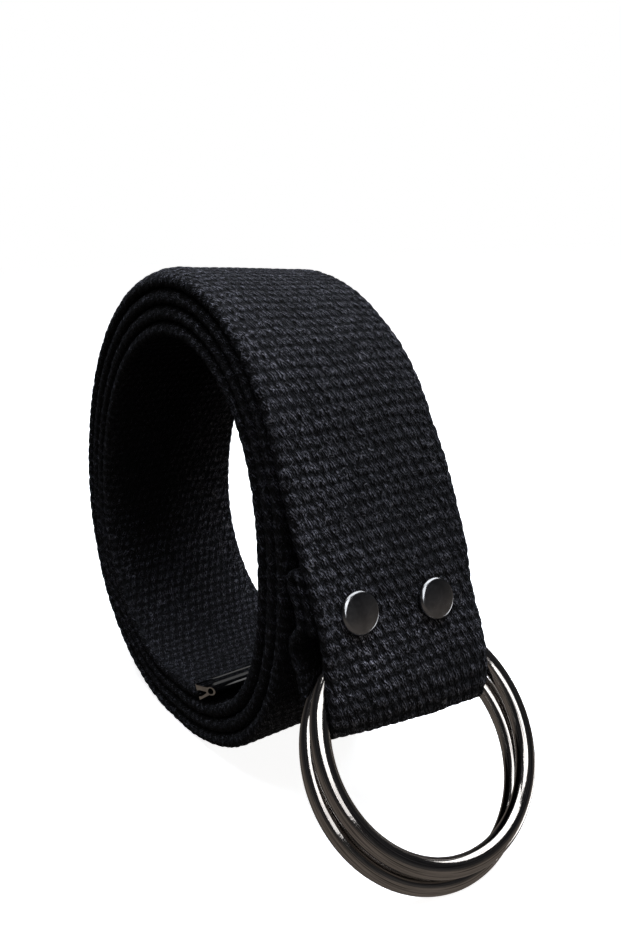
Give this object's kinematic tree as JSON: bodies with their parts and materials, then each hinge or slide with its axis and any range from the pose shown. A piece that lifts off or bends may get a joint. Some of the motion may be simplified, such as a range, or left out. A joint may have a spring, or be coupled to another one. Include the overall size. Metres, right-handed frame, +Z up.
{
  "type": "canvas belt with two o-rings, rolled",
  "caption": "Black canvas webbing belt rolled into a coil, with round metal rings riveted into its folded outer end and a crimped metal tip on the inner end.",
  "frame": {"origin": "on the floor, under the middle of the bounding box", "axes": "+Z up, +X from the coil towards the rings, Y across the width of the webbing"},
  "size_m": [0.1358, 0.0501, 0.1092],
  "materials": {
    "black_canvas": "matt woven cotton",
    "gunmetal": "polished dark nickel",
    "dark_metal": "dark nickel, semi-polished"
  },
  "bodies": {
    "root": {"webbing_strap": "black_canvas", "ring_front": "gunmetal", "ring_back": "gunmetal", "rivet_near": "dark_metal", "rivet_far": "dark_metal", "end_tip": "dark_metal"}
  },
  "joints": []
}
